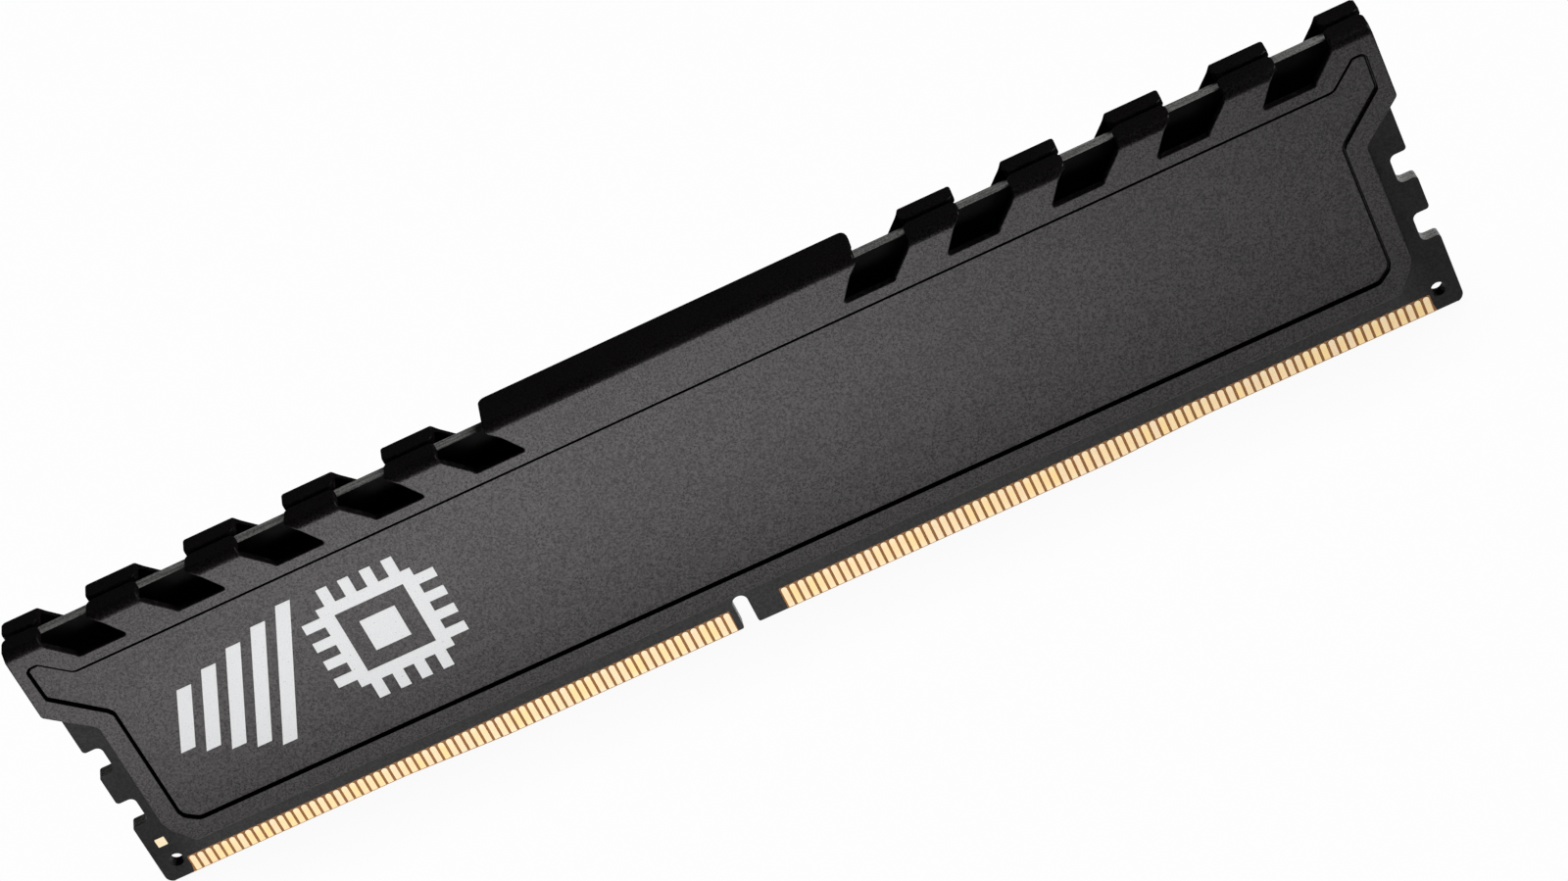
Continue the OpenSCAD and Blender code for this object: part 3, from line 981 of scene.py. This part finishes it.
def floor():
    """A plain pale floor that lights the module from below, as a light table does.

    The light is weak beside the module, strong further out, and nearly nothing far away. The camera
    sees the floor as plain white, with a faint shade where the module stands.
    """
    g = Graph("pale_floor")
    spot = g.node("SeparateXYZ", {0: g.coords})
    from_foot = g.math("ABSOLUTE", spot.outputs["Y"])
    along = g.math("DIVIDE", g.math("SUBTRACT", spot.outputs["X"], BRIGHT_X * MM), BRIGHT_W * MM)
    falling = g.math("EXPONENT", g.math("MULTIPLY", g.math("MULTIPLY", along, along), -1))
    bell = g.math("MAXIMUM", falling, LEAST_SHARE)
    away = g.range(from_foot, SHELL_FACE * MM, FAR_AT * MM, smooth=True)
    edge = g.range(from_foot, FAR_FADE[0] * MM, FAR_FADE[1] * MM, 1.0, 0.05, smooth=True)
    foot = g.range(from_foot, SHELL_FACE * MM, 3 * SHELL_FACE * MM, FILL_FOOT, FILL_NEAR, smooth=True)
    close_light = g.math("MULTIPLY", g.math("POWER", bell, 0.3), foot)
    far_light = g.math("MULTIPLY", g.math("MULTIPLY", bell, edge), FILL_FAR)
    close_part = g.math("MULTIPLY", close_light, g.math("SUBTRACT", 1.0, away))
    level = g.math("ADD", g.math("MULTIPLY", far_light, away), close_part)
    fill = g.node("Emission", {"Color": WHITE, "Strength": level})
    open_share = g.node("AmbientOcclusion", {"Distance": 12 * MM}).outputs["AO"]
    shade = g.range(open_share, 0.4, 1.0, SEEN_SHADE, SEEN_WHITE)
    seen = g.node("Emission", {"Color": WHITE, "Strength": shade})
    camera_ray = g.node("LightPath").outputs["Is Camera Ray"]
    both = g.node("MixShader", {0: camera_ray, 1: fill.outputs[0], 2: seen.outputs[0]})
    g.node("OutputMaterial", {"Surface": both.outputs[0]})
    mesh = bpy.data.meshes.new("floor")
    z = CAD_BOX[0].z - 0.02 * MM
    corners = [(x * FLOOR_HALF, y * FLOOR_HALF, z) for x, y in ((-1, -1), (1, -1), (1, 1), (-1, 1))]
    mesh.from_pydata(corners, [], [(0, 1, 2, 3)])
    mesh.materials.append(g.material)
    piece = bpy.data.objects.new("floor", mesh)
    bpy.context.scene.collection.objects.link(piece)


def sky():
    """A dark room, pale wherever the camera sees it."""
    world = bpy.data.worlds.new("room")
    bpy.context.scene.world = world
    world.use_nodes = True
    tree = world.node_tree
    tree.nodes.clear()
    out = tree.nodes.new("ShaderNodeOutputWorld")
    mix = tree.nodes.new("ShaderNodeMixShader")
    path = tree.nodes.new("ShaderNodeLightPath")
    tree.links.new(path.outputs["Is Camera Ray"], mix.inputs[0])
    for socket, strength in ((1, ROOM_LIGHT), (2, SEEN_WHITE)):
        light = tree.nodes.new("ShaderNodeBackground")
        light.inputs["Color"].default_value = WHITE
        light.inputs["Strength"].default_value = strength
        tree.links.new(light.outputs[0], mix.inputs[socket])
    tree.links.new(mix.outputs[0], out.inputs["Surface"])


def softbox(name, azimuth, elevation, distance, size, power):
    """A large square light, placed round the module as the camera is and turned to it."""
    data = bpy.data.lights.new(name, "AREA")
    data.size = size
    data.energy = power
    lamp = bpy.data.objects.new(name, data)
    middle = (CAD_BOX[0] + CAD_BOX[1]) / 2
    away = direction(azimuth, elevation)
    lamp.location = middle + away * distance
    lamp.rotation_euler = away.to_track_quat("Z", "Y").to_euler()
    lamp.visible_camera = False
    bpy.context.scene.collection.objects.link(lamp)


def direction(azimuth, elevation):
    """From the module towards a camera or lamp. Azimuth 0 is in front, at -y, and 90 is at +x."""
    a, e = math.radians(azimuth), math.radians(elevation)
    return Vector((math.sin(a) * math.cos(e), -math.cos(a) * math.cos(e), math.sin(e)))


def camera():
    """Looks down on the printed side, with the module's card edge rising to the right."""
    data = bpy.data.cameras.new("camera")
    data.lens = LENS
    data.sensor_width = 36
    data.shift_x = LENS_SHIFT
    data.shift_y = LENS_SHIFT
    data.clip_start = 0.01
    data.clip_end = 50
    eye = bpy.data.objects.new("camera", data)
    away = direction(CAMERA_AZIMUTH, CAMERA_ELEVATION)
    eye.location = Vector(CAMERA_TARGET) * MM + away * CAMERA_DISTANCE
    roll = Matrix.Rotation(math.radians(CAMERA_ROLL), 4, "Z")
    turn = away.to_track_quat("Z", "Y").to_matrix().to_4x4() @ roll
    eye.rotation_euler = turn.to_euler()
    bpy.context.scene.collection.objects.link(eye)
    bpy.context.scene.camera = eye


build()
floor()
sky()
softbox("side_light", azimuth=95, elevation=42, distance=0.9, size=0.5, power=3.2)
camera()
bpy.context.scene.view_settings.view_transform = "Standard"
